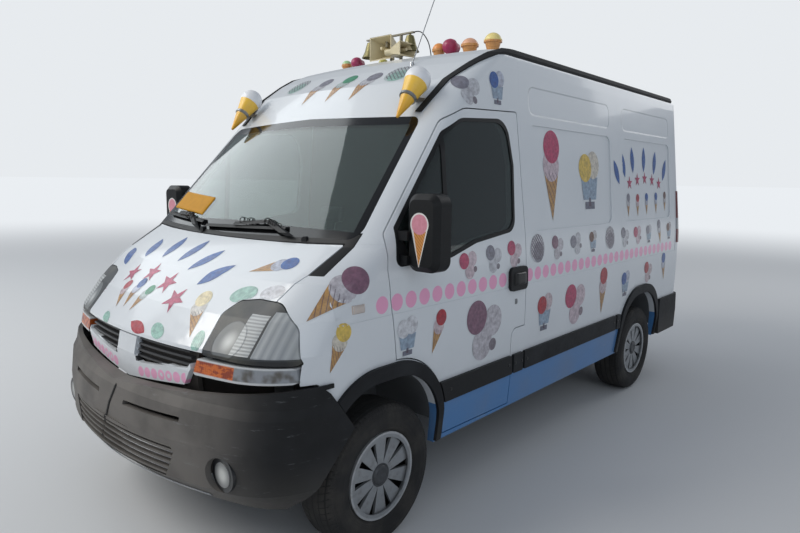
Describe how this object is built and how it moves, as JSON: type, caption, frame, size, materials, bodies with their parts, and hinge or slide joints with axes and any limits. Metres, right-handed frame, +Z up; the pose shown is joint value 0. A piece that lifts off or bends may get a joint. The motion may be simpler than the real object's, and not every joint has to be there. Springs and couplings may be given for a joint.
{
  "type": "ice cream van",
  "caption": "High-roof panel van fitted out for selling ice cream, with hinged bonnet and doors, steered front wheels, rolling road wheels, roof horns and cone lamps.",
  "frame": {"origin": "on the ground, at the middle of the length and of the width", "axes": "+X to the van's left side, +Y to the rear, +Z up"},
  "size_m": [2.36, 4.8673, 2.9385],
  "materials": {
    "body_paint": "aged white gloss paint",
    "floor_paint": "grey-white paint",
    "glass": "clear, slightly green",
    "lamp_lens": "aged clear lens",
    "amber_lens": "amber lens",
    "red_lens": "dark red lens",
    "bumper_plastic": "grained, faded and scuffed",
    "black_plastic": "grained black",
    "dash_plastic": "grained dark grey",
    "black_rubber": "matt black",
    "frame_steel": "black paint, dusty",
    "pipe_steel": "dull, lightly rusted",
    "engine_iron": "dull",
    "seat_cloth": "woven grey cloth",
    "cone_plastic": "moulded plastic",
    "horn_plastic": "beige",
    "aerial_steel": "bright steel",
    "tyre": "worn black",
    "wheel_silver": "silver-grey paint"
  },
  "bodies": {
    "van": {"aerial": "aerial_steel", "bulkhead": "floor_paint", "chassis": "frame_steel", "cone_lamps": "cone_plastic", "dashboard": "dash_plastic", "driver_seat": "seat_cloth", "engine": "engine_iron", "exhaust": "pipe_steel", "floor": "floor_paint", "fog_lamps": "lamp_lens", "front_bumper": "bumper_plastic", "fuel_tank": "black_plastic", "grille_panel": "body_paint", "headlamps": "lamp_lens", "horn_cable": "black_rubber", "indicators": "amber_lens", "passenger_bench": "seat_cloth", "rear_axle": "frame_steel", "rear_bumper": "bumper_plastic", "roof_cones": "cone_plastic", "roof_horns": "horn_plastic", "roof_panel": "body_paint", "roof_strips": "black_rubber", "scuttle": "black_plastic", "serving_window": "glass", "side_mouldings": "bumper_plastic", "side_panel_left": "body_paint", "side_panel_right": "body_paint", "sliding_door": "body_paint", "tail_lamps": "red_lens", "windscreen": "glass", "wing_left": "body_paint", "wing_right": "body_paint", "wipers": "black_plastic"},
    "front_door_left": {"front_door_left": "body_paint", "door_glass_left": "glass", "door_trim_left": "black_plastic", "mirror_left": "black_plastic"},
    "front_door_right": {"front_door_right": "body_paint", "door_glass_right": "glass", "door_trim_right": "black_plastic", "mirror_right": "black_plastic"},
    "rear_door_left": {"rear_door_left": "body_paint"},
    "rear_door_right": {"rear_door_right": "body_paint"},
    "bonnet": {"bonnet": "body_paint"},
    "steering_wheel": {"steering_wheel": "black_plastic"},
    "knuckle_left": {"knuckle_left": "frame_steel"},
    "knuckle_right": {"knuckle_right": "frame_steel"},
    "wheel_front_left": {"tyre_front_left": "tyre", "wheel_front_left": "wheel_silver"},
    "wheel_front_right": {"tyre_front_right": "tyre", "wheel_front_right": "wheel_silver"},
    "wheel_rear_left": {"tyre_rear_left": "tyre", "wheel_rear_left": "wheel_silver"},
    "wheel_rear_right": {"tyre_rear_right": "tyre", "wheel_rear_right": "wheel_silver"}
  },
  "joints": [
    {"name": "door_left", "type": "hinge", "parent": "van", "child": "front_door_left", "pos_m": [0.999, -1.596, 1.2], "axis": [0, 0, -1], "range_deg": [0, 70]},
    {"name": "door_right", "type": "hinge", "parent": "van", "child": "front_door_right", "pos_m": [-0.999, -1.596, 1.2], "axis": [0, 0, 1], "range_deg": [0, 70]},
    {"name": "rear_door_left", "type": "hinge", "parent": "van", "child": "rear_door_left", "pos_m": [0.792, 2.402, 1.4], "axis": [0, 0, -1], "range_deg": [0, 180]},
    {"name": "rear_door_right", "type": "hinge", "parent": "van", "child": "rear_door_right", "pos_m": [-0.792, 2.402, 1.4], "axis": [0, 0, 1], "range_deg": [0, 180]},
    {"name": "bonnet", "type": "hinge", "parent": "van", "child": "bonnet", "pos_m": [0, -1.698, 1.437], "axis": [-1, 0, 0], "range_deg": [0, 50]},
    {"name": "steer_left", "type": "hinge", "parent": "van", "child": "knuckle_left", "pos_m": [0.81, -1.604, 0.342], "axis": [0, 0, 1], "range_deg": [-35, 35]},
    {"name": "steer_right", "type": "hinge", "parent": "van", "child": "knuckle_right", "pos_m": [-0.81, -1.604, 0.342], "axis": [0, 0, 1], "range_deg": [-35, 35]},
    {"name": "steering_wheel", "type": "hinge", "parent": "van", "child": "steering_wheel", "pos_m": [0.4, -1.084, 1.215], "axis": [0, 0.4695, 0.8829], "range_deg": [-540, 540]},
    {"name": "wheel_front_left", "type": "hinge", "parent": "knuckle_left", "child": "wheel_front_left", "pos_m": [0.87, -1.604, 0.342], "axis": [1, 0, 0], "continuous": true},
    {"name": "wheel_front_right", "type": "hinge", "parent": "knuckle_right", "child": "wheel_front_right", "pos_m": [-0.87, -1.604, 0.342], "axis": [1, 0, 0], "continuous": true},
    {"name": "wheel_rear_left", "type": "hinge", "parent": "van", "child": "wheel_rear_left", "pos_m": [0.8625, 1.474, 0.342], "axis": [1, 0, 0], "continuous": true},
    {"name": "wheel_rear_right", "type": "hinge", "parent": "van", "child": "wheel_rear_right", "pos_m": [-0.8625, 1.474, 0.342], "axis": [1, 0, 0], "continuous": true}
  ],
  "couplings": [
    {"joint": "steer_right", "follows": "steer_left", "ratio": 1},
    {"joint": "steering_wheel", "follows": "steer_left", "ratio": 15.4}
  ]
}
